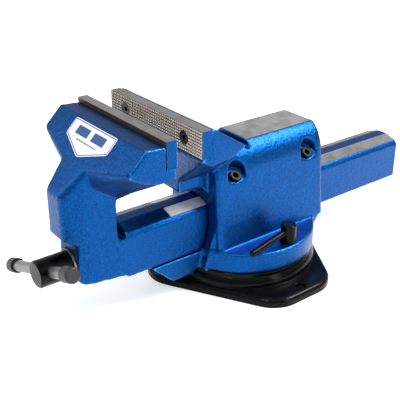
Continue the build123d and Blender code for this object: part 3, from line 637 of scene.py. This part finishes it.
def screw_seat(face_y, facing, x, z):
    """Cutter for a countersunk hole: a cone, run out past the face and through the plate."""
    deep = SINK_R - HOLE_R
    bpy.ops.mesh.primitive_cone_add(
        vertices=SEAT_SIDES, radius1=SINK_R, radius2=HOLE_R, depth=deep,
        location=(x, face_y - facing * deep / 2, z), rotation=(facing * pi / 2, 0, 0))
    cutter = bpy.context.object
    settle(cutter)
    for outward, far in ((1, PAST_FACE), (-1, PAST_BACK)):
        edit(cutter)
        pick(cutter, lambda middle, face: len(face.verts) > 4
             and face.normal.y * facing * outward > 0.9)
        bpy.ops.mesh.extrude_region_move(
            TRANSFORM_OT_translate={"value": (0, facing * outward * far, 0)})
        leave()
    return cutter


def serrated_plate(node, body, facing):
    """Plate with a grid of cut teeth on its clamping face, which looks along facing on Y."""
    low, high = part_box(node)
    face_y = high.y if facing > 0 else low.y
    wide, tall, thick = high.x - low.x, high.z - low.z, high.y - low.y
    middle = (low + high) / 2
    deselect()
    bpy.ops.mesh.primitive_grid_add(
        x_subdivisions=round(wide / TOOTH), y_subdivisions=round(tall / TOOTH), size=1,
        location=(middle.x, face_y - facing * TOOTH_DEEP, middle.z),
        rotation=(-facing * pi / 2, 0, 0))
    plate = bpy.context.object
    plate.scale = (wide, tall, 1)
    settle(plate)
    edit(plate)
    bpy.ops.mesh.select_all(action="SELECT")
    bpy.ops.mesh.inset(thickness=0.38 * TOOTH, depth=TOOTH_DEEP, use_individual=True)
    bpy.ops.mesh.select_all(action="DESELECT")
    bpy.ops.mesh.select_mode(type="EDGE")
    bpy.ops.mesh.select_non_manifold(
        extend=False, use_wire=False, use_boundary=True, use_multi_face=False,
        use_non_contiguous=False, use_verts=False)
    bpy.ops.mesh.extrude_region_move(
        TRANSFORM_OT_translate={"value": (0, -facing * (thick - TOOTH_DEEP), 0)})
    bpy.ops.mesh.edge_face_add()
    bpy.ops.mesh.select_all(action="SELECT")
    bpy.ops.mesh.normals_make_consistent(inside=False)
    leave()
    for x in (-SCREW_X, SCREW_X):
        cutter = screw_seat(face_y, facing, x, middle.z)
        apply_modifier(plate, "BOOLEAN", operation="DIFFERENCE", object=cutter, solver="EXACT")
        bpy.data.objects.remove(cutter)
    only(plate)
    named(node + "_toothed", body, SLOT_LOOK["jaw_steel"])
    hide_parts(node)


serrated_plate("fixed_jaw_plate", "body", -1)
serrated_plate("moving_jaw_plate", "slide", 1)


# ---------------------------------------------------------------- label
def label_film():
    """Five-sided film on the inclined face: a strip with its lower edge drawn to a point."""
    down = Vector((0, -cos(SLOPE), -sin(SLOPE)))
    out = Vector((0, -sin(SLOPE), cos(SLOPE)))
    ridge = Vector((LABEL_X, *JAW_RIDGE))
    deselect()
    bpy.ops.mesh.primitive_plane_add(
        size=1, location=ridge + down * (LABEL_START + LABEL_SIDE / 2) + out * LABEL_LIFT,
        rotation=(SLOPE, 0, 0))
    film = bpy.context.object
    film.scale = (2 * LABEL_HALF, LABEL_SIDE, 1)
    settle(film)
    edit(film)
    lowest = min(vertex.co.z for vertex in bmesh.from_edit_mesh(film.data).verts)
    pick(film, lambda middle, edge: middle.z < lowest + 0.0002, "EDGE")
    bpy.ops.mesh.subdivide(number_cuts=1)
    leave()
    edit(film)
    bpy.context.tool_settings.mesh_select_mode = (True, False, False)
    mesh = bmesh.from_edit_mesh(film.data)
    for vertex in mesh.verts:
        vertex.select_set(abs(vertex.co.x - LABEL_X) < 0.001)
    bmesh.update_edit_mesh(film.data)
    bpy.ops.transform.translate(value=down * (LABEL_TALL - LABEL_SIDE))
    bpy.ops.mesh.select_all(action="SELECT")
    bpy.ops.mesh.bevel(offset=LABEL_CORNER, segments=4, affect="VERTICES")
    leave()
    apply_modifier(film, "SOLIDIFY", thickness=LABEL_THICK, offset=1.0)
    named("label_film", "slide", SLOT_LOOK["label"])
    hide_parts("label_plate")


label_film()


# ---------------------------------------------------------------- stage, light and camera
deselect()
FLOOR_WIDE = 60.0
bpy.ops.mesh.primitive_plane_add(size=FLOOR_WIDE, location=(0, 0, 0))
floor = bpy.context.object
floor.name = "floor"
floor_look, floor_paint, floor_in = new_material("floor_pale", Roughness=0.6, Emission_Strength=0.42)
floor_grain = floor_paint.noise(floor_paint.place(), 3.0, 2.0, 0.5)
floor_paint.put(floor_in["Base Color"],
                floor_paint.mix(floor_grain, (0.86, 0.86, 0.86, 1), (0.90, 0.90, 0.90, 1)))
floor_in["Emission Color"].default_value = (1, 1, 1, 1)
floor.data.materials.append(floor_look)


AIM = (0.0, 0.0, 0.07)


def lamp(name, size, power, at):
    data = bpy.data.lights.new(name, "AREA")
    data.shape = "RECTANGLE"
    data.size, data.size_y = size
    data.energy = power
    made = bpy.data.objects.new(name, data)
    bpy.context.scene.collection.objects.link(made)
    made.location = at
    made.rotation_euler = (Vector(AIM) - Vector(at)).to_track_quat("-Z", "Y").to_euler()


for name, size, power, at in (
        ("shoulder_soft", (0.50, 0.40), 16.0, (0.45, 0.62, 0.92)),
        ("front_soft", (0.32, 0.32), 3.7, (0.40, -0.76, 0.95)),
        ("left_soft", (0.35, 0.9), 2.8, (-0.80, -0.80, 0.60)),
        ("right_soft", (0.30, 0.8), 2.7, (1.25, 0.30, 0.45))):
    lamp(name, size, power, at)

world = bpy.data.worlds.new("studio")
world.use_nodes = True
sky = Paint(world.node_tree)
height = sky.xyz(sky.node("ShaderNodeTexCoord").outputs["Generated"])["Z"]
ceiling = world.node_tree.nodes["Background"].inputs
ceiling["Color"].default_value = (0.95, 0.97, 1.0, 1)
seen = sky.node("ShaderNodeLightPath").outputs["Is Camera Ray"]
lit = sky.ramp(height, 0.10, 0.95, 0.30, 1.15)
sky.put(ceiling["Strength"], sky.math("MAXIMUM", lit, sky.math("MULTIPLY", seen, 1.2)))
bpy.context.scene.world = world

CAMERA_DOWN = 24.78              # degrees below the horizon
CAMERA_TURN = 52.59
camera_data = bpy.data.cameras.new("camera")
camera_data.sensor_width = 36.0
camera_data.lens = 65.8
camera_data.shift_y = -0.05
camera = bpy.data.objects.new("camera", camera_data)
bpy.context.scene.collection.objects.link(camera)
camera.location = (0.4286, -0.3733, 0.3372)
camera.rotation_euler = (radians(90 - CAMERA_DOWN), 0, radians(CAMERA_TURN))
bpy.context.scene.camera = camera
bpy.context.scene.view_settings.view_transform = "Standard"
